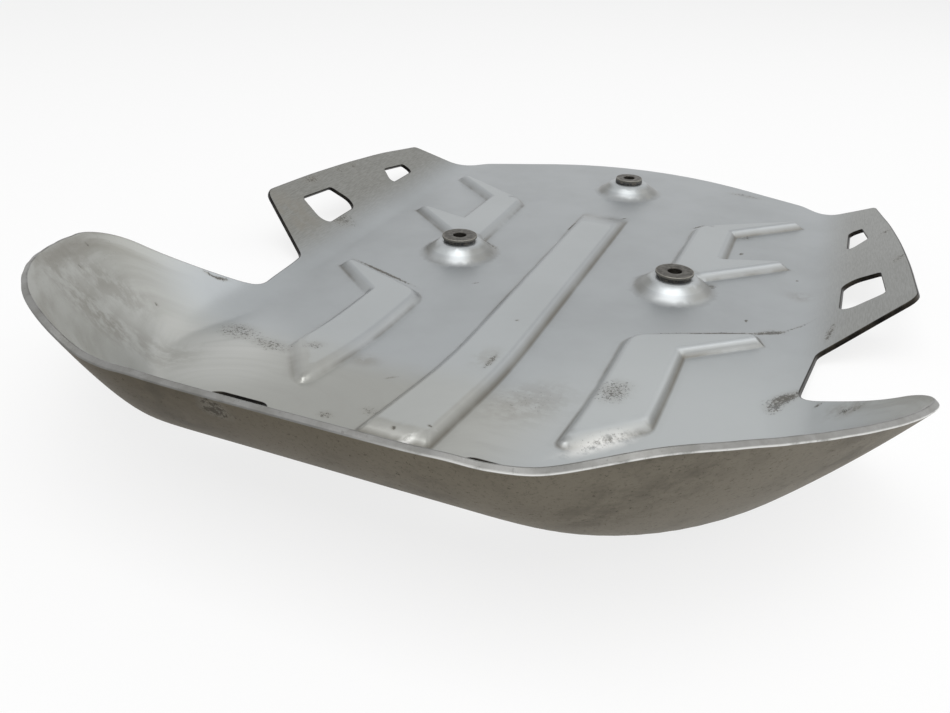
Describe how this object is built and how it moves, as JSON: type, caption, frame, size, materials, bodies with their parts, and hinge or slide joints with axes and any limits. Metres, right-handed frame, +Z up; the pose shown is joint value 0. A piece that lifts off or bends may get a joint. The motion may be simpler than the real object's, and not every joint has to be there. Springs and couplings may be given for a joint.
{
  "type": "motorcycle skid plate",
  "caption": "Pressed aluminium skid plate with a curled nose, folded side wings and tabs, stiffening ribs and rubber-mounted flanged bushes for bolting under an engine.",
  "frame": {"origin": "centre of the plate's footprint box, on the surface that the flat floor rests on", "axes": "+X across the bike to the picture's right, -Y towards the curled nose, +Z up into the bike"},
  "size_m": [0.311, 0.427, 0.064],
  "materials": {
    "plate": "satin, pressed, lightly scuffed and dirty",
    "grommet": "matt",
    "bush": "dull plated steel"
  },
  "bodies": {
    "root": {"skid_plate": "plate", "grommet_front_left": "grommet", "grommet_front_right": "grommet", "grommet_rear": "grommet", "bush_front_left": "bush", "bush_front_right": "bush", "bush_rear": "bush"}
  },
  "joints": []
}
